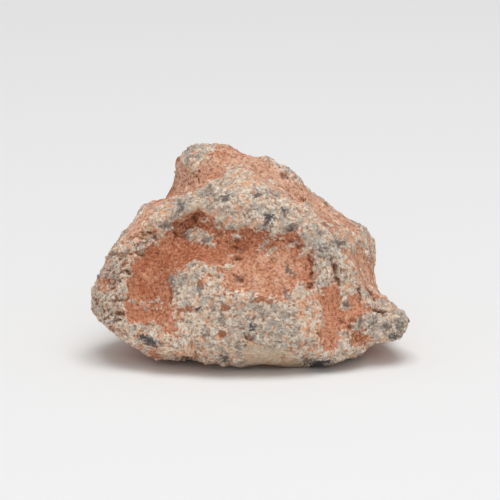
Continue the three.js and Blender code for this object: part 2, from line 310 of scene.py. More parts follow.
# How grey the crust's grains are, or how peach-coloured where the strength is below 0
GREYED = Trait((
    Area("right of the brow", (
        (296, 222), (312, 226), (336, 244), (346, 268), (330, 276), (316, 258), (300, 244),
    ), 1.0, 6.0),
    Area("middle of the brow", ((258, 194), (292, 204), (302, 226), (284, 232), (258, 222)), 0.6, 6.0),
    Area("left of the brow", (
        (176, 204), (190, 192), (214, 184), (234, 192), (226, 214), (200, 206), (180, 214),
    ), 0.8, 6.0),
    Area("summit", ((180, 150), (196, 140), (210, 144), (206, 160), (184, 168)), 0.7, 4.0),
    Area("nose", ((360, 318), (386, 310), (410, 318), (400, 336), (370, 338)), 0.8, 5.0),
    Area("left edge of the mound", (
        (170, 278), (200, 266), (214, 276), (206, 310), (178, 306),
    ), 0.7, 6.0),
    Area("middle of the mound", ((230, 298), (290, 296), (302, 330), (270, 344), (232, 336)), 0.5, 8.0),
    Area("lower left", ((106, 316), (128, 326), (150, 330), (160, 342), (130, 344)), 0.5, 5.0),
    Area("foot of the left hollow", (
        (166, 326), (194, 338), (206, 358), (170, 356), (150, 344),
    ), -0.7, 6.0),
    Area("left of the strip", ((296, 298), (320, 292), (320, 346), (300, 346)), -0.8, 6.0),
    Area("top of the crest", ((226, 172), (248, 166), (262, 180), (252, 194), (232, 188)), -0.4, 6.0),
    Area("left shoulder", ((116, 244), (146, 204), (172, 198), (168, 222), (140, 240)), -0.6, 6.0),
), seed=105.0)

# How deep and brown the gaps between the grains are; the brown is partly the matrix's colour and partly
# painted shade in the crevices
CREVICED = Trait((
    Area("left rim", (
        (92, 300), (112, 252), (134, 232), (156, 232), (132, 262), (128, 322), (106, 322),
    ), 1.0, 6.0),
    Area("right rim", (
        (306, 258), (336, 258), (350, 280), (380, 306), (372, 314), (340, 292), (316, 290),
    ), 0.7, 6.0),
    Area("lower left", ((108, 322), (170, 330), (200, 344), (206, 362), (150, 358)), 0.4, 6.0),
    Area("edge of the mound", ((172, 270), (184, 268), (186, 320), (170, 320)), 0.6, 4.0),
    Area("band behind the crest", (
        (236, 163), (280, 166), (372, 234), (350, 242), (252, 190),
    ), -0.6, 6.0),
), seed=93.0)

# How thickly brown pores lie in the coating; laid thickest in the shaded pocket under the brow and under the
# neck, partly as painted shade
PORED_AND_PAINTED_SHADE = Trait((
    Area("brow pocket", (
        (172, 214), (204, 211), (212, 226), (206, 234), (186, 240), (170, 238),
    ), 1.0, 4.0),
    Area("top of the left hollow", (
        (146, 248), (172, 236), (222, 240), (212, 258), (170, 268), (140, 266),
    ), 0.5, 6.0),
    Area("under the brow", (
        (214, 232), (250, 229), (300, 228), (304, 246), (250, 244), (216, 246),
    ), 0.5, 5.0),
    Area("right of the terrace", ((296, 250), (314, 254), (314, 286), (300, 284)), 0.6, 5.0),
    Area("left hollow", ((128, 280), (172, 270), (174, 320), (130, 320)), 0.25, 8.0),
    Area("back flank", ((176, 168), (216, 168), (212, 186), (170, 200)), 0.5, 5.0),
    Area("under the neck", ((340, 318), (372, 322), (366, 344), (342, 340)), 0.6, 5.0),
), seed=111.0)

# Where fine-grained rock shows, smooth and without grains
SMOOTHED = Trait((
    Area("foot of the mound", (
        (242, 350), (252, 344), (268, 343), (284, 348), (300, 360), (290, 367), (262, 366), (246, 362),
    ), 1.0, 3.0),
    Area("lip over the brow pocket", (
        (182, 219), (186, 211), (194, 204), (203, 203), (206, 209), (197, 212), (190, 217),
    ), 1.0, 2.0),
    Area("island in the hollow", ((192, 234), (204, 228), (211, 240), (204, 244), (196, 241)), 0.5, 2.0),
    Area("right of the terrace", ((292, 296), (302, 288), (314, 286), (310, 293), (300, 298)), 0.8, 2.0),
), seed=87.0)

# Pale grains and clusters of grains that stand in the coating
PALE_GRAINS = (
    Spot(233, 254, 5, 3), Spot(266, 240, 4, 2.6), Spot(260, 248, 2.4, 2.6), Spot(272, 252, 4, 2.6),
    Spot(227, 268, 3, 2), Spot(275, 279, 2, 1.4), Spot(294, 246, 6, 2.2, -20), Spot(242, 289, 5, 2.4, 20),
    Spot(236, 236, 3, 2), Spot(204, 222, 3, 2.6), Spot(136, 300, 3.2, 2.6), Spot(143, 303, 3, 2.4),
    Spot(147, 307, 4, 3), Spot(151, 302, 3, 2.4), Spot(156, 300, 2.8, 2.2), Spot(139, 308, 2.2, 1.8),
    Spot(155, 307, 2.4, 2),
)

# Brown pits: their dark brown is partly the pits' own colour and partly painted shade in the holes
BROWN_PITS_AND_PAINTED_SHADE = SpotKind((
    Spot(194, 220, 3.6, 2.6, 20), Spot(197, 217, 2.4, 2, 0, 0.8), Spot(178, 234, 4, 3.4, 0, 0.8),
    Spot(183, 231, 4, 2.2, 30, 0.7), Spot(177, 226, 2.6, 2.6, 0, 0.5), Spot(191, 226, 6, 1.6, 20, 0.5),
    Spot(219, 234, 4, 1.8, 0, 0.7), Spot(237, 241, 4, 1.6, 10, 0.6), Spot(237, 249, 6, 2, -10, 0.8),
    Spot(238, 257, 5, 2, 5, 0.9), Spot(229, 253, 2, 1.6, 0, 0.7), Spot(236, 275, 3.2, 2, -40, 0.9),
    Spot(241, 279, 3.4, 2.4, -20, 0.8), Spot(272, 260, 2.8, 2, -30, 0.8), Spot(294, 260, 2, 1.4, 0, 0.7),
    Spot(290, 242, 3, 1.8, -20, 0.9), Spot(297, 245, 4, 2.6, -20), Spot(309, 261, 6, 1.8, -65),
    Spot(311, 272, 6, 1.8, 80), Spot(310, 286, 4, 3.4, 0, 0.9), Spot(292, 285, 3, 1.6, 0, 0.5),
    Spot(298, 239, 2.2, 2.2, 0, 0.6), Spot(334, 267, 10, 2.1, 108), Spot(337, 280, 6, 2.8, 110, 0.9),
    Spot(360, 291, 8, 2.1, 100, 0.9), Spot(372, 294, 9, 2.2, -60), Spot(382, 310, 9, 2.2, -8),
    Spot(384, 306, 6, 1.6, -38, 0.4), Spot(341, 321, 3, 3, 0, 0.6), Spot(134, 237, 9, 1.8, 10, 0.7),
    Spot(149, 234, 9, 1.8, 8, 0.9), Spot(155, 237, 3, 2.2, 0, 0.8), Spot(147, 242, 5, 2.2, 20, 0.9),
    Spot(122, 254, 14, 2.2, 2, 0.8), Spot(152, 324, 11, 1.6, 3, 0.7), Spot(142, 254, 5, 1.8, 0, 0.8),
    Spot(124, 264, 4, 3, 40, 0.8), Spot(130, 271, 5, 2.8, -30), Spot(112, 283, 5, 8, 0, 0.6),
    Spot(120, 300, 9, 2, 5, 0.8), Spot(119, 320, 5, 1.8), Spot(120, 313, 6, 3.5, -10, 0.85),
    Spot(285, 175, 6, 3, -30, 0.8), Spot(306, 202, 5, 1.4, -40), Spot(300, 212, 5, 1.4, -35, 0.8),
    Spot(249, 337, 6, 3.5, -30, 0.8), Spot(318, 333, 4, 2.5, 0, 0.7), Spot(171, 296, 3, 7, 5, 0.6),
    Spot(350, 327, 5, 2.5, -20, 0.7), Spot(344, 303, 3, 5, 0, 0.3), Spot(188, 357, 7, 2.4, -5, 0.8),
    Spot(112, 328, 5, 2.4, -45, 0.8), Spot(247, 232, 8, 2.6, 0, 0.4),
), fade=(-1.2, 1.6), seed=235.0, rarity=0.6)

BROWN_STAINS = SpotKind((
    Spot(225, 307, 4.6, 4), Spot(260, 299, 6, 3, 10), Spot(269, 302, 3.6, 3), Spot(222, 333, 4, 3.4),
    Spot(292, 345, 6, 5, -20, 0.4), Spot(284, 357, 4, 5, 0, 0.4), Spot(359, 337, 9, 6, -20, 0.5),
    Spot(187, 309, 10, 3.5, 0, 0.9), Spot(196, 355, 5, 3, 20, 0.6), Spot(325, 226, 5, 2.5, -40, 0.7),
    Spot(352, 320, 4, 3, 0, 0.8), Spot(383, 315, 4, 2, 0, 0.5), Spot(295, 234, 6, 6, 0, 0.35),
    Spot(258, 265, 4, 4, 0, 0.4), Spot(201, 283, 3.4, 4.4, 0, 0.9),
), fade=(-1.5, 1.5), seed=265.0, rarity=0.55)

DARK_CLASTS = SpotKind((
    Spot(150, 340, 11, 4.5, -22, 0.95), Spot(319, 362, 11, 4.5, 5), Spot(306, 360, 5, 3, -20, 0.7),
    Spot(252, 327, 4, 3.4), Spot(270, 219, 4.5, 3.5, -35), Spot(257, 195, 5, 3.2, -20, 0.9),
    Spot(284, 211, 3.4, 2.4, 0, 0.85), Spot(265, 225, 2, 3, 0, 0.8), Spot(292, 228, 5, 4, 0, 0.75),
    Spot(226, 198, 5, 4.5, 0, 0.75), Spot(182, 207, 4, 5, 30, 0.7), Spot(167, 225, 6, 4, -30, 0.6),
    Spot(208, 191, 5, 4.5, 0, 0.45), Spot(275, 194, 5, 3, 0, 0.5), Spot(338, 243, 6, 4, -20, 0.75),
    Spot(346, 304, 4, 5, 0, 0.7), Spot(360, 320, 3.5, 4.5, 0, 0.65), Spot(375, 318, 4, 3, -45, 0.5),
    Spot(398, 325, 5, 7, 0, 0.65), Spot(386, 327, 6, 4, 0, 0.6), Spot(393, 335, 5, 3, 10, 0.95),
    Spot(289, 270, 6, 2.8, -45, 0.7), Spot(286, 293, 7, 2.2, -65, 0.55), Spot(172, 279, 2.4, 5, 0, 0.75),
    Spot(198, 308, 4, 2.6), Spot(225, 356, 5.4, 3.8, 0, 0.85), Spot(207, 240, 5, 5, 0, 0.65),
    Spot(188, 235, 3.5, 3, 0, 0.6), Spot(183, 278, 4, 4, 0, 0.4), Spot(321, 249, 5, 3, 0, 0.6),
    Spot(212, 194, 5, 5, 0, 0.45), Spot(270, 194, 4, 4, 0, 0.45), Spot(149, 205, 2.5, 2, 0, 0.45),
    Spot(318, 281, 2.6, 4, 0, 0.5), Spot(238, 278, 4.4, 3.4, -20, 0.6), Spot(372, 323, 2, 3, -30, 0.6),
    Spot(190, 150, 4, 3, 0, 0.4), Spot(198, 156, 3, 3, 0, 0.4), Spot(240, 310, 4, 4, 0, 0.35),
    Spot(213, 306, 4, 4, 0, 0.4), Spot(254, 308, 3, 3, 0, 0.5), Spot(252, 318, 4, 3, 0, 0.6),
    Spot(223, 320, 3, 4, 0, 0.45), Spot(279, 334, 4, 4, 0, 0.4), Spot(270, 345, 4, 3, -30, 0.4),
    Spot(309, 341, 5, 5, 0, 0.35), Spot(317, 232, 3, 3, 0, 0.4), Spot(200, 289, 3, 4, 0, 0.5),
    Spot(206, 335, 3, 3, 0, 0.6), Spot(238, 345, 4, 4, 0, 0.5), Spot(355, 223, 4, 2, -30, 0.4),
    Spot(328, 203, 3, 1.6, -35, 0.7), Spot(290, 172, 7, 2, -40, 0.5),
), fade=(-1.0, 1.5), seed=190.0, rarity=0.5)


# Shader building

Operand = Union["Wire", float, int]


class Wire:
    """An output of a shader node that Python's operators work on."""

    def __init__(self, board: "Board", socket: bpy.types.NodeSocket) -> None:
        """Keeps the board that the node is on and its output."""
        self.board = board
        self.socket = socket

    def _maths(self, operation: str, *operands: Operand) -> "Wire":
        """Adds a Math node with those inputs, and gives its output."""
        return self.board.node("ShaderNodeMath", {"operation": operation}, dict(enumerate(operands)))

    def __add__(self, other: Operand) -> "Wire":
        """The sum."""
        return self._maths("ADD", self, other)

    def __sub__(self, other: Operand) -> "Wire":
        """The difference."""
        return self._maths("SUBTRACT", self, other)

    def __rsub__(self, other: Operand) -> "Wire":
        """The difference the other way round."""
        return self._maths("SUBTRACT", other, self)

    def __mul__(self, other: Operand) -> "Wire":
        """The product."""
        return self._maths("MULTIPLY", self, other)

    def at_most(self, other: Operand) -> "Wire":
        """The smaller of the two."""
        return self._maths("MINIMUM", self, other)

    def step(self, low: float, high: float) -> "Wire":
        """A soft step.

        Args:
            low: where it leaves 0. It may be above high, and then the step falls.
            high: where it reaches 1.

        Returns:
            A value from 0 to 1.
        """
        settings = {"interpolation_type": "SMOOTHSTEP"}
        first, last, start, stop = (low, high, 0.0, 1.0) if low < high else (high, low, 1.0, 0.0)
        return self.board.node("ShaderNodeMapRange", settings, {
            "Value": self, "From Min": first, "From Max": last, "To Min": start, "To Max": stop,
        })


Colour = Triple


def linear(red: int, green: int, blue: int) -> Colour:
    """A colour given in everyday 0 to 255 steps, as the shader's linear light."""
    shares = (value / 255.0 for value in (red, green, blue))
    return tuple(share / 12.92 if share <= 0.04045 else ((share + 0.055) / 1.055) ** 2.4 for share in shares)


@dataclass(frozen=True)
class Cloud:
    """Soft noise about 0.5.

    size is that of its features in millimetres, detail how many finer layers it has, and roughness how strong
    they are. shift takes it from elsewhere. strength is how strongly it swings where it is wanted about 0.
    """

    size: float
    detail: float
    roughness: float
    shift: Triple = (0.0, 0.0, 0.0)
    strength: float = 1.0


class Board:
    """A material's node tree, with short ways of adding to it."""

    def __init__(self, name: str) -> None:
        """Makes an empty material.

        Args:
            name: the material's name.
        """
        self.material = bpy.data.materials.new(name)
        self.material.use_nodes = True
        self.tree = self.material.node_tree
        self.tree.nodes.clear()

    def node(self, kind: str, settings: dict[str, Any], inputs: dict[Union[str, int], Any],
             output: Union[str, int] = 0) -> Wire:
        """Adds a node.

        Args:
            kind: the node's type.
            settings: its properties, which are set first.
            inputs: values or wires for its sockets, by name or place.
            output: the name or place of the output wanted.

        Returns:
            That output.
        """
        made = self.tree.nodes.new(kind)
        for key, value in settings.items():
            setattr(made, key, value)
        for key, value in inputs.items():
            if isinstance(value, Wire):
                self.tree.links.new(value.socket, made.inputs[key])
            else:
                made.inputs[key].default_value = value
        return Wire(self, made.outputs[output])

    def finish_with(self, shader: Wire) -> bpy.types.Material:
        """Puts a shader on the surface.

        Args:
            shader: the shader's output.

        Returns:
            The finished material.
        """
        end = self.tree.nodes.new("ShaderNodeOutputMaterial")
        self.tree.links.new(shader.socket, end.inputs["Surface"])
        return self.material

    def attribute(self, name: str) -> Wire:
        """A number that the mesh carries at each point."""
        return self.node("ShaderNodeAttribute", {"attribute_name": name}, {}, "Fac")

    def scaled(self, vector: Wire, factor: Operand) -> Wire:
        """A vector or colour times a number."""
        return self.node("ShaderNodeVectorMath", {"operation": "SCALE"}, {0: vector, "Scale": factor})

    def moved(self, vector: Wire, by: Triple) -> Wire:
        """A vector moved by another."""
        return self.node("ShaderNodeVectorMath", {"operation": "ADD"}, {0: vector, 1: by})

    def cloud(self, place: Wire, cloud: Cloud) -> Wire:
        """Soft noise about 0.5.

        Args:
            place: positions in millimetres.
            cloud: what the noise is like.

        Returns:
            One number at each position.
        """
        return self.node("ShaderNodeTexNoise", {}, {
            "Vector": self.moved(place, cloud.shift), "Scale": 1.0 / cloud.size,
            "Detail": cloud.detail, "Roughness": cloud.roughness,
        }, "Fac")

    def blended(self, share: Operand, first: Union[Wire, Colour], second: Union[Wire, Colour]) -> Wire:
        """Two colours mixed.

        Args:
            share: how much of the second.
            first: a colour.
            second: another.

        Returns:
            The mixed colour.
        """
        before, after = (one if isinstance(one, Wire) else (*one, 1.0) for one in (first, second))
        return self.node("ShaderNodeMix", {"data_type": "RGBA"}, {0: share, 6: before, 7: after}, 2)

    def tint(self, colour: Colour, factor: Wire) -> Wire:
        """A plain colour made lighter or darker by a number about 1.

        Args:
            colour: the colour.
            factor: the number.

        Returns:
            The changed colour.
        """
        made = self.tree.nodes.new("ShaderNodeRGB")
        made.outputs[0].default_value = (*colour, 1.0)
        return self.scaled(Wire(self, made.outputs[0]), factor)


class Rock(Board):
    """The board of the stone's material.

    place is the surface's own position in millimetres, and fine a noise about 0.5. It is taken at places that
    another noise pushes about, so that what it draws is ragged. stir_reach is how far, in millimetres.
    """

    fine_noise = Cloud(0.42, 3.0, 0.72)
    stir_size = 0.6
    stir_detail = 3.0
    stir_reach = 0.3

    def __init__(self, name: str) -> None:
        """Makes an empty material.

        Args:
            name: the material's name.
        """
        super().__init__(name)
        self.place = self.scaled(self.node("ShaderNodeTexCoord", {}, {}, "Object"), 1.0 / MM)
        stir = self.node("ShaderNodeTexNoise", {}, {
            "Vector": self.place, "Scale": 1.0 / self.stir_size, "Detail": self.stir_detail,
        }, "Color")
        pushed = self.node("ShaderNodeVectorMath", {"operation": "MULTIPLY_ADD"}, {
            0: self.moved(stir, (-0.5, -0.5, -0.5)), 1: (self.stir_reach,) * 3, 2: self.place,
        })
        self.fine = self.cloud(pushed, self.fine_noise)

    def at(self, cloud: Cloud) -> Wire:
        """Noise about 0.5."""
        return self.cloud(self.place, cloud)

    def swing(self, cloud: Cloud) -> Wire:
        """Noise about 0, at the cloud's strength."""
        return (self.at(cloud) - 0.5) * cloud.strength

    def grit(self, strength: float) -> Wire:
        """The fine noise about 0, at a strength that may be negative."""
        return (self.fine - 0.5) * strength


@dataclass(frozen=True)
class Crust:
    """The pale crust: grains of several tones with brown gaps between them, partly painted shade, and smooth
    rock in places.
    """

    white: Colour = linear(241, 234, 225)
    cream: Colour = linear(236, 218, 198)
    tan: Colour = linear(212, 178, 150)
    peach: Colour = linear(230, 166, 124)
    grey: Colour = linear(180, 173, 163)
    dark: Colour = linear(124, 109, 100)
    gap: Colour = linear(158, 118, 90)
    rust: Colour = linear(206, 130, 84)
    pore: Colour = linear(110, 66, 42)
    smooth: Colour = linear(206, 188, 164)
    smooth_warm: Colour = linear(200, 160, 126)
    white_grains: Cloud = Cloud(0.9, 3.0, 0.6, strength=3.0)
    peach_grains: Cloud = Cloud(1.2, 5.0, 0.7, (7.0, 0.0, 0.0), 4.2)
    grey_grains: Cloud = Cloud(0.9, 3.0, 0.6, (0.0, 5.0, 0.0), 4.0)
    dark_grains: Cloud = Cloud(0.65, 3.0, 0.65, (0.0, 0.0, 9.0))
    gap_breaks: Cloud = Cloud(0.6, 4.0, 0.7, (0.0, 0.0, 2.0), 1.8)
    smooth_edge: Cloud = Cloud(1.0, 5.0, 0.7, strength=1.6)
    smooth_shade: Cloud = Cloud(0.8, 5.0, 0.7)
    smooth_warmth: Cloud = Cloud(1.4, 5.0, 0.7, (4.0, 0.0, 0.0))

    def grains(self, rock: Rock, warm: Wire) -> Wire:
        """The grains' colour, from tan and cream through white and peach to grey and dark.

        Args:
            rock: the board to draw on.
            warm: how peach-coloured the grains are, from 0 to 1.

        Returns:
            A colour.
        """
        lot = rock.attribute("lot")
        shade = rock.attribute("shade")
        greyed = rock.attribute("greyed")
        colour = rock.blended(rock.fine.step(0.38, 0.58), self.tan, self.cream)
        white = shade * 0.5 + rock.swing(self.white_grains) + rock.grit(0.8)
        colour = rock.blended(white.step(0.1, 0.8) * 0.6, colour, self.white)
        colour = rock.blended(warm * 0.8, colour, self.peach)
        cool = lot * 0.4 + greyed * 0.3 + rock.swing(self.grey_grains)
        colour = rock.blended(cool.step(0.25, 0.55) * 0.75, colour, self.grey)
        dark = rock.at(self.dark_grains) + lot * 0.04 + greyed * 0.02
        colour = rock.blended(dark.step(0.6, 0.69) * 0.7, colour, self.dark)
        return rock.scaled(colour, rock.fine * 0.35 + shade * 0.1 + 0.82)

    def with_gaps(self, rock: Rock, warm: Wire, colour: Wire) -> Wire:
        """Draws the brown gaps between the grains, and pores, over a colour. The brown in the gaps is partly
        the matrix's colour and partly painted shade, darkest in the creviced areas.

        Args:
            rock: the board to draw on.
            warm: how peach-coloured the grains are, from 0 to 1.
            colour: the grains' colour.

        Returns:
            A colour.
        """
        gap = rock.attribute("gap") * 0.7 + rock.swing(self.gap_breaks) + rock.grit(-1.6)
        between = rock.blended(warm, self.gap, self.rust)
        colour = rock.blended(gap.step(0.3, 0.9) * 0.6, colour, between)
        # Painted shade in part: the deep, creviced gaps get the dark pore colour
        deep = gap * rock.attribute("creviced")
        colour = rock.blended(deep.step(0.45, 1.05) * 0.7, colour, self.pore)
        return rock.blended(rock.fine.step(0.38, 0.3) * 0.75, colour, self.pore)

    def colour(self, rock: Rock) -> Wire:
        """The crust's colour.

        Args:
            rock: the board to draw on.

        Returns:
            A colour.
        """
        tilt = rock.attribute("shade") * 0.35 - rock.attribute("greyed") * 0.2
        warm = (tilt + rock.swing(self.peach_grains)).step(0.2, 0.6)
        grains = self.with_gaps(rock, warm, self.grains(rock, warm))
        smooth = (rock.attribute("smoothed") + rock.swing(self.smooth_edge)).step(0.35, 0.75)
        faint = rock.at(self.smooth_shade) * 1.2 + rock.fine * 0.4 + 0.2
        warmer = rock.at(self.smooth_warmth).step(0.45, 0.62)
        plain = rock.scaled(rock.blended(warmer, self.smooth, self.smooth_warm), faint)
        return rock.blended(smooth * 0.75, grains, plain)


@dataclass(frozen=True)
class Coating:
    """The orange coating: clay, paler or deeper from place to place, partly as painted shade in the hollows
    and painted light on the back flank, with dark pores laid thicker under the brow as painted shade.
    """

    clay: Colour = linear(208, 144, 112)
    light: Colour = linear(236, 192, 164)
    deep: Colour = linear(178, 102, 68)
    pore: Colour = linear(118, 58, 34)
    tones: Cloud = Cloud(2.4, 5.0, 0.7, strength=3.4)
    mottles: Cloud = Cloud(0.8, 4.0, 0.75, (0.0, 6.0, 0.0))
    pores: Cloud = Cloud(0.45, 4.0, 0.72, (2.0, 0.0, 3.0))
    ragged: Cloud = Cloud(0.9, 5.0, 0.72, strength=2.0)
    streaks: Cloud = Cloud(1.0, 4.0, 0.65, strength=2.4)
    streak: Triple = (0.16, 1.0, 1.6)
    streak_turn: float = math.radians(-36.0)

    def colour(self, rock: Rock) -> Wire:
        """The coating's colour.

        Args:
            rock: the board to draw on.

        Returns:
            A colour.
        """
        fine = rock.fine
        # Painted light and shade: besides the clay's own tone, the tone read here deepens it in the shaded
        # hollows and pales it on the back flank
        tone = rock.attribute("tone_and_painted_light") + rock.swing(self.tones)
        colour = rock.blended(tone.step(0.0, -1.0) * 0.8, self.clay, self.deep)
        colour = rock.blended(tone.step(0.0, 1.0) * 0.8, colour, self.light)
        colour = rock.scaled(colour, fine.at_most(0.55) * 1.7 + rock.at(self.mottles) * 1.2 - 0.43)
        colour = rock.blended(fine.step(0.52, 0.64) * 0.35, colour, self.light)
        colour = rock.blended(fine.step(0.48, 0.38) * 0.6, colour, self.deep)
        # Dark pores, laid thicker in some areas as painted shade
        pores = rock.at(self.pores) - rock.attribute("pored_and_painted_shade") * 0.07
        return rock.blended(pores.step(0.43, 0.35) * 0.85, colour, self.pore)

    def edge(self, rock: Rock) -> Wire:
        """How far the coating's ragged edge strays, drawn out into streaks where the surface is streaked.

        Args:
            rock: the board to draw on.

        Returns:
            A distance in millimetres.
        """
        seeping = rock.grit(-1.5) + rock.attribute("gap") * 0.45 - 0.15
        turned = rock.node("ShaderNodeVectorRotate", {"rotation_type": "Y_AXIS"}, {
            "Vector": rock.place, "Angle": self.streak_turn,
        })
        drawn_out = rock.node("ShaderNodeVectorMath", {"operation": "MULTIPLY"}, {0: turned, 1: self.streak})
        streaks = (rock.cloud(drawn_out, self.streaks) - 0.5) * self.streaks.strength
        streaked = rock.attribute("streaked")
        return seeping + rock.swing(self.ragged) * (1.0 - streaked) + streaks * streaked


@dataclass(frozen=True)
class Spotting:
    """The dark clasts, brown stains and brown pits, whose dark brown is partly painted shade in the holes."""

    clast: Colour = linear(94, 88, 88)
    clast_edge: Colour = linear(138, 130, 124)
    pit: Colour = linear(106, 56, 34)
    pit_edge: Colour = linear(168, 102, 66)
    stain: Colour = linear(162, 90, 50)
    torn: Cloud = Cloud(0.6, 5.0, 0.75, strength=3.0)

    def over(self, rock: Rock, colour: Wire) -> Wire:
        """Lays the spots over a colour.

        Args:
            rock: the board to draw on.
            colour: the colour under them.

        Returns:
            A colour.
        """
        torn = rock.swing(self.torn)
        speckle = rock.fine * 1.4 + 0.2
        stained = (rock.attribute("stain") + torn * 0.6 + rock.grit(-1.0)).step(0.2, 0.8)
        colour = rock.blended(stained * 0.8, colour, rock.tint(self.stain, speckle + 0.1))
        clast = rock.attribute("clast") + torn * 0.5 + rock.grit(-1.6)
        tone = rock.attribute("clast_tone")
        around = rock.tint(self.clast_edge, speckle)
        colour = rock.blended(clast.step(-0.3, 0.15) * tone * 0.75, colour, around)
        colour = rock.blended(clast.step(-0.05, 0.25) * tone * tone, colour, rock.tint(self.clast, speckle))
        # Painted shade in part: the pits' dark brown stands for their colour and for the shade in the holes
        pit = rock.attribute("pit") + torn * 0.35 + rock.grit(-1.2)
        colour = rock.blended(pit.step(0.15, 0.6) * 0.5, colour, self.pit_edge)
        return rock.blended(pit.step(0.55, 1.1) * 0.85, colour, self.pit)


@dataclass(frozen=True)
class Breccia:
    """The finish of the whole stone: an orange coating in the hollows and a granular crust on the rest.

    Sizes are in millimetres.
    """

    crust: Crust = Crust()
    coating: Coating = Coating()
    spotting: Spotting = Spotting()
    coarse: Cloud = Cloud(0.9, 2.0, 0.5, (0.0, 2.0, 0.0), 0.8)
    bump_depth: float = 0.32
    roughness: float = 0.9
    shine: float = 0.25

    def normal(self, rock: Rock, coated: Wire) -> Wire:
        """The surface's direction, made uneven by grains too small for the mesh.

        Args:
            rock: the board to draw on.
            coated: how much the coating covers, from 0 to 1.

        Returns:
            A direction.
        """
        raised = rock.grit(1.1) + rock.swing(self.coarse)
        height = raised * (1.0 - coated * 0.3) * (1.0 - rock.attribute("smoothed") * 0.7)
        return rock.node("ShaderNodeBump", {}, {
            "Strength": 1.0, "Distance": self.bump_depth * MM, "Height": height,
        })

    def material(self) -> bpy.types.Material:
        """Builds the material.

        Returns:
            The stone's material.
        """
        rock = Rock("breccia")
        coated = (rock.attribute("coating") + self.coating.edge(rock)).step(-0.15, 0.15)
        colour = rock.blended(coated, self.crust.colour(rock), self.coating.colour(rock))
        colour = self.spotting.over(rock, colour)
        # Painted shade: the colour is darkened by up to a fifth where the fine relief lies below the solid's
        # surface, as in pits and between grains. The crust is also made lighter or darker by area, partly as
        # painted light and shade.
        low = rock.attribute("relief").step(0.0, -0.45)
        tone_and_painted_light = rock.attribute("tone_and_painted_light") * (1.0 - coated)
        shader = rock.node("ShaderNodeBsdfPrincipled", {}, {
            "Base Color": rock.scaled(colour, 1.0 - low * 0.2 + tone_and_painted_light * 0.2),
            "Roughness": self.roughness - coated * 0.08, "Normal": self.normal(rock, coated),
            "Specular IOR Level": self.shine,
        })
        return rock.finish_with(shader)


# The stone

def soft_step(values: np.ndarray, low: float, high: float) -> np.ndarray:
    """A soft step from 0 at low to 1 at high."""
    share = np.clip((values - low) / (high - low), 0.0, 1.0)
    return share * share * (3.0 - 2.0 * share)


# How far a seed moves rolling noise along each axis
ROLLING_SHIFT = (1.0, 1.7, 0.6)


@dataclass(frozen=True)
class Rolling:
    """Rolling noise about 0.

    size is that of its largest features in millimetres, octaves how many finer layers it has, seed where it
    is taken from and height what it is multiplied by.
    """

    size: float
    octaves: int
    seed: float
    height: float = 1.0

    def elsewhere(self, seed: float) -> "Rolling":
        """The same noise with something added to its seed."""
        return replace(self, seed=self.seed + seed)

    def at(self, points: np.ndarray) -> np.ndarray:
        """Works the noise out.

        Args:
            points: positions in millimetres, one row each.

        Returns:
            One number for each point.
        """
        shift = Vector([share * self.seed for share in ROLLING_SHIFT])
        places = (Vector(point) / self.size + shift for point in points)
        return np.array([noise.fractal(place, 1.0, 2.0, self.octaves) for place in places]) * self.height


# The facings at which the picture's areas and spots give way to noise, and what that noise is like
AREA_TURN = (0.0, 0.1)
AREAS_BEHIND = Rolling(5.0, 3, 0.0)
SPOT_TURN = 0.05
SPOTS_BEHIND = Rolling(1.9, 2, 9.0)
SPOT_BEHIND_TONE = 0.75
SPOT_BEHIND_SLOPE = 16.0

# How the picture's spots are stirred, and a place that counts as far outside them all, in pixels
SPOT_STIR = Rolling(0.9, 3, 0.0, 2.0)
STIR_APART = 18.0
FAR_OUTSIDE = -10.0


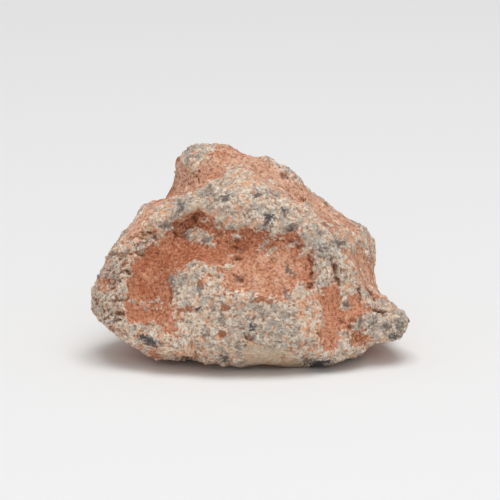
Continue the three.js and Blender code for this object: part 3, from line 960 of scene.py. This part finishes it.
@dataclass(frozen=True)
class Surface:
    """The points of the stone's surface.

    points are in millimetres, and normals are their directions. seen are the points in the picture's pixels,
    and facing is how squarely each faces the viewer, from -1 to 1.
    """

    points: np.ndarray
    normals: np.ndarray
    seen: np.ndarray
    facing: np.ndarray

    @classmethod
    def of(cls, mesh: bpy.types.Mesh, plane: SeenPlane) -> "Surface":
        """Reads a mesh.

        Args:
            mesh: the mesh.
            plane: how its points fall on the picture.

        Returns:
            Its surface.
        """
        flat = np.empty(len(mesh.vertices) * 3)
        mesh.vertices.foreach_get("co", flat)
        points = flat.reshape(-1, 3) / MM
        mesh.vertices.foreach_get("normal", flat)
        normals = flat.reshape(-1, 3).copy()
        return cls(points, normals, plane.across(points), normals @ TOWARDS_VIEWER)

    def strayed(self, stir: Rolling) -> np.ndarray:
        """Picture positions pushed about by noise, so that what is drawn there gets a natural outline.

        Args:
            stir: the noise, as high as it pushes in pixels.

        Returns:
            The pushed picture positions.
        """
        pushes = [one.at(self.points) for one in (stir, stir.elsewhere(STIR_APART))]
        return self.seen + np.stack(pushes, axis=1)

    def shown(self, trait: Trait) -> np.ndarray:
        """How strongly a trait shows, with noise in the place of its areas on the hidden sides.

        Args:
            trait: the trait.

        Returns:
            The sum of the strengths of its areas, each fading over its edge.
        """
        total = np.zeros(len(self.seen))
        for area in trait.areas:
            total += area.strength * soft_step(inside_by(area.outline, self.seen), -area.edge, area.edge)
        share = soft_step(self.facing, *AREA_TURN)
        behind = AREAS_BEHIND.elsewhere(trait.seed).at(self.points) * trait.behind
        return total * share + behind * (1.0 - share)

    def spotted(self, kind: SpotKind) -> tuple[np.ndarray, np.ndarray]:
        """The nearest spot of a kind, with spots of noise on the hidden sides.

        Args:
            kind: the kind.

        Returns:
            How far each point lies inside its spot in pixels, and that spot's strength.
        """
        wandering = self.strayed(SPOT_STIR.elsewhere(kind.seed))
        reach = np.full(len(self.seen), FAR_OUTSIDE)
        strength = np.zeros(len(self.seen))
        for spot in kind.spots:
            inside = spot.inside_by(wandering)
            nearer = inside > reach
            reach[nearer] = inside[nearer]
            strength[nearer] = spot.strength
        hidden = self.facing < SPOT_TURN
        behind = SPOTS_BEHIND.elsewhere(kind.seed).at(self.points)
        reach[hidden] = (behind[hidden] - kind.rarity) * SPOT_BEHIND_SLOPE
        strength[hidden] = SPOT_BEHIND_TONE
        return reach, strength


# How far a seed moves packed grains along each axis, and what turns a grain's middle into its chance number
PACKED_SHIFT = (1.0, 0.3, 1.9)
SCATTER = np.array([12.99, 78.23, 37.72])
SCATTER_SCALE = 4375.8


@dataclass(frozen=True)
class GrainKind:
    """Packed grains of irregular shape.

    size is theirs in millimetres, and seed moves them elsewhere. rim is the share of the size over which each
    rises, and height how high they stand in millimetres. The lowest ones reach the share lowest of it, and
    sunk is the share that is taken off everywhere.
    """

    size: float
    seed: float
    rim: float
    sunk: float
    height: float
    lowest: float = 0.4

    def packed(self, points: np.ndarray) -> tuple[np.ndarray, np.ndarray]:
        """Packs the grains.

        Args:
            points: positions in millimetres, one row each.

        Returns:
            How far each point lies in from the edge of its grain, as a share of the size, and a chance number
            from 0 to 1 that is the same all over a grain.
        """
        shift = Vector([share * self.seed for share in PACKED_SHIFT])
        inward = np.empty(len(points))
        middles = np.empty((len(points), 3))
        for index, point in enumerate(points):
            distances, nearest = noise.voronoi(Vector(point) / self.size + shift)
            inward[index] = distances[1] - distances[0]
            middles[index] = nearest[0]
        lots = np.modf(np.abs(np.sin(middles @ SCATTER)) * SCATTER_SCALE)[0]
        return inward, lots

    def knobs(self, inward: np.ndarray, lots: np.ndarray) -> np.ndarray:
        """How high the grains stand, each to its own chance number."""
        return (soft_step(inward, 0.0, self.rim) * (self.lowest + lots) - self.sunk) * self.height


@dataclass(frozen=True)
class Marks:
    """What each point of the surface bears.

    coating is how far it lies inside the coating in millimetres, and clast how far inside a clast in pixels.
    inward is how far it lies in from its grain's edge, and lots that grain's chance number. coarse is how
    high the large grains stand in millimetres.
    """

    streaked: np.ndarray
    coating: np.ndarray
    smoothed: np.ndarray
    creviced: np.ndarray
    pit: np.ndarray
    stain: np.ndarray
    clast: np.ndarray
    clast_tone: np.ndarray
    inward: np.ndarray
    lots: np.ndarray
    coarse: np.ndarray


@dataclass
class Stone:
    """The whole stone, made from the solid that it replaces.

    Lengths are in millimetres. A field that ends in turn holds the facings between which the surface turns
    from hidden to seen, and one that ends in behind tells what the hidden sides have.
    """

    name: str = "stone"
    voxel: float = 0.19
    weld: float = 0.001
    smoothing: int = 26
    smoothing_share: float = 0.5
    faces_wanted: int = 195000
    turned_away: float = 0.02
    rest_band: float = 0.6
    coating_stir: Rolling = Rolling(2.6, 3, 11.0, 3.5)
    coating_tear: Rolling = Rolling(1.1, 3, 31.0, 0.45)
    coating_behind: Rolling = Rolling(9.0, 5, 5.0, 6.0)
    coating_tear_behind: Rolling = Rolling(3.0, 3, 35.0, 1.2)
    coating_lack_behind: float = 0.6
    coating_turn: Pair = (0.02, 0.22)
    coating_most: float = 3.0
    streaked_blur: float = 0.5
    mingled_blur: float = 0.8
    grain_stir: Rolling = Rolling(0.8, 3, 51.0, 0.45)
    grain_stirs_apart: Triple = (0.0, 6.0, 12.0)
    grains: GrainKind = GrainKind(size=0.85, seed=7.0, rim=0.5, sunk=0.6, height=0.16)
    large_grains: GrainKind = GrainKind(size=1.7, seed=13.0, rim=0.6, sunk=0.55, height=0.18)
    grain_edge: Rolling = Rolling(0.6, 2, 71.0, 0.25)
    grain_edge_least: float = -0.1
    lump: Rolling = Rolling(2.4, 2, 3.0, 0.18)
    ripple: Rolling = Rolling(1.6, 4, 17.0, 0.09)
    swell_behind: Rolling = Rolling(4.0, 3, 41.0, 0.55)
    swell_turn: Pair = (0.0, 0.2)
    smoothed_loss: float = 0.8
    creviced_gain: float = 0.7
    creviced_plain: float = 0.7
    creviced_share: float = 0.6
    gap_width: float = 0.3
    shade_spread: float = 17.0
    ledge: float = 0.3
    ledge_width: float = 0.35
    clast_height: float = 0.06
    pit_drop: float = 0.4
    pit_floor: Rolling = Rolling(0.7, 2, 23.0, 0.4)
    plane: SeenPlane = SeenPlane()
    finish: Breccia = Breccia()

    def copy_of_solid(self) -> bpy.types.Object:
        """Copies the solid, with its loose triangles merged.

        Returns:
            The copy, selected and active.
        """
        bpy.ops.object.select_all(action="DESELECT")
        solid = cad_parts[STONE_NODE]
        piece = solid.copy()
        piece.data = solid.data.copy()
        piece.parent = None
        piece.name = self.name
        for key in list(piece.keys()):
            del piece[key]
        bpy.context.scene.collection.objects.link(piece)
        piece.select_set(True)
        bpy.context.view_layer.objects.active = piece
        bpy.ops.object.mode_set(mode="EDIT")
        bpy.ops.mesh.select_all(action="SELECT")
        bpy.ops.mesh.remove_doubles(threshold=self.weld * MM)
        bpy.ops.object.mode_set(mode="OBJECT")
        return piece

    def apply(self, piece: bpy.types.Object, kind: str, **settings: Any) -> None:
        """Adds a modifier with those settings and applies it.

        Args:
            piece: the active piece.
            kind: the modifier's type.
            settings: its properties.
        """
        bpy.ops.object.modifier_add(type=kind)
        modifier = piece.modifiers[-1]
        for key, value in settings.items():
            setattr(modifier, key, value)
        bpy.ops.object.modifier_apply(modifier=modifier.name)

    def coating_reach(self, surface: Surface, streaked: np.ndarray) -> np.ndarray:
        """How far each point lies inside the orange coating.

        Args:
            surface: the surface.
            streaked: how streaked each point is.

        Returns:
            Distances in millimetres, negative in the crust.
        """
        points = surface.points
        wandering = surface.strayed(self.coating_stir)
        reach = np.full(len(wandering), -np.inf)
        for patch in PATCHES:
            inside = inside_by(patch.outline, wandering)
            if patch.cover is Cover.COATING:
                reach = np.maximum(reach, inside)
            else:
                reach = np.minimum(reach, -inside)
        for grain in PALE_GRAINS:
            reach = np.minimum(reach, -grain.inside_by(surface.seen))
        reach = reach * self.plane.pixel + self.coating_tear.at(points)
        torn = self.coating_tear_behind.at(points)
        hidden = self.coating_behind.at(points) + torn - self.coating_lack_behind
        share = soft_step(surface.facing, *self.coating_turn)
        mingled = surface.shown(MINGLED).clip(0.0, 1.0)
        reach = np.clip(reach, -self.coating_most, self.coating_most) * share + hidden * (1.0 - share)
        return reach * (1.0 - self.streaked_blur * streaked) * (1.0 - self.mingled_blur * mingled)

    def marks(self, surface: Surface) -> Marks:
        """Works out what the surface bears.

        Args:
            surface: the surface.

        Returns:
            Its marks.
        """
        stirs = [self.grain_stir.elsewhere(apart).at(surface.points) for apart in self.grain_stirs_apart]
        stirred = surface.points + np.stack(stirs, axis=1)
        inward, lots = self.grains.packed(stirred)
        edge = np.maximum(self.grain_edge.at(surface.points), self.grain_edge_least)
        streaked = surface.shown(STREAKED)
        pit, pit_strength = surface.spotted(BROWN_PITS_AND_PAINTED_SHADE)
        stain, stain_strength = surface.spotted(BROWN_STAINS)
        clast, clast_tone = surface.spotted(DARK_CLASTS)
        return Marks(
            streaked=streaked, coating=self.coating_reach(surface, streaked),
            smoothed=surface.shown(SMOOTHED).clip(0.0, 1.0), creviced=surface.shown(CREVICED),
            pit=soft_step(pit, *BROWN_PITS_AND_PAINTED_SHADE.fade) * pit_strength,
            stain=soft_step(stain, *BROWN_STAINS.fade) * stain_strength,
            clast=clast, clast_tone=clast_tone, inward=inward + edge, lots=lots,
            coarse=self.large_grains.knobs(*self.large_grains.packed(stirred)),
        )

    def relief(self, surface: Surface, marks: Marks) -> np.ndarray:
        """How high the fine relief stands.

        Args:
            surface: the surface.
            marks: what it bears.

        Returns:
            Heights in millimetres above the solid.
        """
        points = surface.points
        crusted = 1.0 - soft_step(marks.coating, -self.ledge_width, self.ledge_width)
        coarse = marks.coarse * (1.0 + self.creviced_gain * marks.creviced)
        knobs = self.grains.knobs(marks.inward, marks.lots) + coarse
        rugged = crusted * (1.0 - self.smoothed_loss * marks.smoothed) * (self.lump.at(points) + knobs)
        relief = rugged + (1.0 - crusted) * self.ripple.at(points) + (crusted - 0.5) * self.ledge
        relief += self.swell_behind.at(points) * (1.0 - soft_step(surface.facing, *self.swell_turn))
        relief += soft_step(marks.clast, *DARK_CLASTS.fade) * marks.clast_tone * self.clast_height
        return relief - marks.pit * (self.pit_drop + self.pit_floor.at(points))

    def carried(self, surface: Surface, marks: Marks, relief: np.ndarray) -> dict[str, np.ndarray]:
        """What the finish reads from the mesh.

        Args:
            surface: the surface.
            marks: what it bears.
            relief: heights in millimetres.

        Returns:
            A number for each point, by attribute name.
        """
        return {
            "coating": marks.coating, "relief": relief, "pit": marks.pit, "stain": marks.stain,
            "clast": marks.clast * self.plane.pixel, "clast_tone": marks.clast_tone,
            "streaked": marks.streaked, "tone_and_painted_light": surface.shown(TONE_AND_PAINTED_LIGHT), "greyed": surface.shown(GREYED),
            "pored_and_painted_shade": surface.shown(PORED_AND_PAINTED_SHADE), "smoothed": marks.smoothed,
            "creviced": self.creviced_plain + self.creviced_share * marks.creviced,
            "gap": 1.0 - soft_step(marks.inward, 0.0, self.gap_width), "lot": marks.lots,
            "shade": np.modf(marks.lots * self.shade_spread)[0],
        }

    def thinned(self, piece: bpy.types.Object, facing: np.ndarray) -> None:
        """Thins the mesh behind and below until it has no more faces than wanted.

        Args:
            piece: the active piece.
            facing: how squarely each of its points faces the viewer.
        """
        triangles = 2 * len(piece.data.polygons)
        behind = piece.vertex_groups.new(name="behind")
        behind.add(np.nonzero(facing < self.turned_away)[0].tolist(), 1.0, "REPLACE")
        self.apply(piece, "DECIMATE", decimate_type="COLLAPSE", ratio=self.faces_wanted / triangles,
                   vertex_group=behind.name, vertex_group_factor=1.0)
        piece.vertex_groups.remove(piece.vertex_groups["behind"])

    def build(self) -> bpy.types.Object:
        """Makes the stone's mesh, with its relief and what its finish reads.

        Returns:
            The finished piece.
        """
        piece = self.copy_of_solid()
        self.apply(piece, "REMESH", mode="VOXEL", voxel_size=self.voxel * MM, adaptivity=0.0)
        self.apply(piece, "SMOOTH", factor=self.smoothing_share, iterations=self.smoothing)
        mesh = piece.data
        surface = Surface.of(mesh, self.plane)
        marks = self.marks(surface)
        relief = self.relief(surface, marks)
        held = soft_step(surface.points[:, 2], 0.0, self.rest_band)
        points = surface.points + surface.normals * (relief * held)[:, None]
        points[:, 2] = np.maximum(points[:, 2], 0.0)
        mesh.vertices.foreach_set("co", (points * MM).ravel())
        mesh.update()
        for name, values in self.carried(surface, marks, relief).items():
            mesh.attributes.new(name, "FLOAT", "POINT").data.foreach_set("value", values.astype(np.float32))
        self.thinned(piece, surface.facing)
        mesh = piece.data
        mesh.materials.clear()
        mesh.materials.append(self.finish.material())
        bpy.ops.object.shade_smooth()
        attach(piece, "root")
        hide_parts(STONE_NODE)
        triangles = sum(len(face.vertices) - 2 for face in mesh.polygons)
        log.info("stone: %d points, thinned to %d, with %d triangles",
                 len(points), len(mesh.vertices), triangles)
        return piece


# The studio

@dataclass(frozen=True)
class Lamp:
    """A square soft lamp: where it hangs and its side in metres, and its power in watts."""

    name: str
    place: Triple
    side: float
    power: float


@dataclass
class Studio:
    """A pale floor, soft light from above and the camera. Lengths are in metres."""

    floor_size: float = 6.0
    floor_colour: Colour = (0.9, 0.9, 0.9)
    lens: float = 600.0
    sensor: float = 36.0
    farthest_seen: float = 20.0
    picture_width: float = PICTURE_PIXELS * PIXEL * MM
    aim: Triple = (0.0, 0.0, 0.0145)
    sky: float = 0.42
    lamps: tuple[Lamp, ...] = (
        Lamp("top lamp", (0.04, -0.12, 0.7), side=0.5, power=3.0),
        Lamp("front lamp", (0.0, -0.8, 0.4), side=0.6, power=0.8),
    )

    def floor(self) -> None:
        """Lays the floor."""
        bpy.ops.object.select_all(action="DESELECT")
        bpy.ops.mesh.primitive_plane_add(size=self.floor_size, location=(0.0, 0.0, 0.0))
        plane = bpy.context.object
        plane.name = "floor"
        board = Board("pale floor")
        shader = board.node("ShaderNodeBsdfDiffuse", {}, {"Color": (*self.floor_colour, 1.0)})
        plane.data.materials.append(board.finish_with(shader))

    def hang(self, lamp: Lamp) -> None:
        """Hangs a lamp so that it shines on the stone.

        Args:
            lamp: the lamp.
        """
        data = bpy.data.lights.new(lamp.name, "AREA")
        data.size = lamp.side
        data.energy = lamp.power
        hung = bpy.data.objects.new(lamp.name, data)
        hung.location = lamp.place
        hung.rotation_euler = (Vector(self.aim) - Vector(lamp.place)).to_track_quat("-Z", "Y").to_euler()
        bpy.context.scene.collection.objects.link(hung)

    def light(self) -> None:
        """Lights the scene."""
        for lamp in self.lamps:
            self.hang(lamp)
        world = bpy.data.worlds.new("studio")
        world.use_nodes = True
        background = world.node_tree.nodes["Background"]
        background.inputs["Color"].default_value = (1.0, 1.0, 1.0, 1.0)
        background.inputs["Strength"].default_value = self.sky
        bpy.context.scene.world = world
        bpy.context.scene.view_settings.view_transform = "Standard"

    def camera(self) -> None:
        """Sets up the camera at the picture's angle."""
        data = bpy.data.cameras.new("camera")
        data.lens = self.lens
        data.sensor_width = self.sensor
        distance = self.picture_width * self.lens / self.sensor
        data.clip_end = self.farthest_seen
        camera = bpy.data.objects.new("camera", data)
        camera.location = Vector(self.aim) + Vector(TOWARDS_VIEWER) * distance
        camera.rotation_euler = (math.pi / 2 - VIEW_TILT, 0.0, 0.0)
        bpy.context.scene.collection.objects.link(camera)
        bpy.context.scene.camera = camera


def main() -> None:
    """Builds the stone and its studio, and writes down how large the finished model is."""
    logging.basicConfig(level=logging.INFO, format="%(name)s: %(message)s")
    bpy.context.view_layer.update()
    Stone().build()
    studio = Studio()
    studio.floor()
    studio.light()
    studio.camera()


if __name__ == "__main__":
    main()
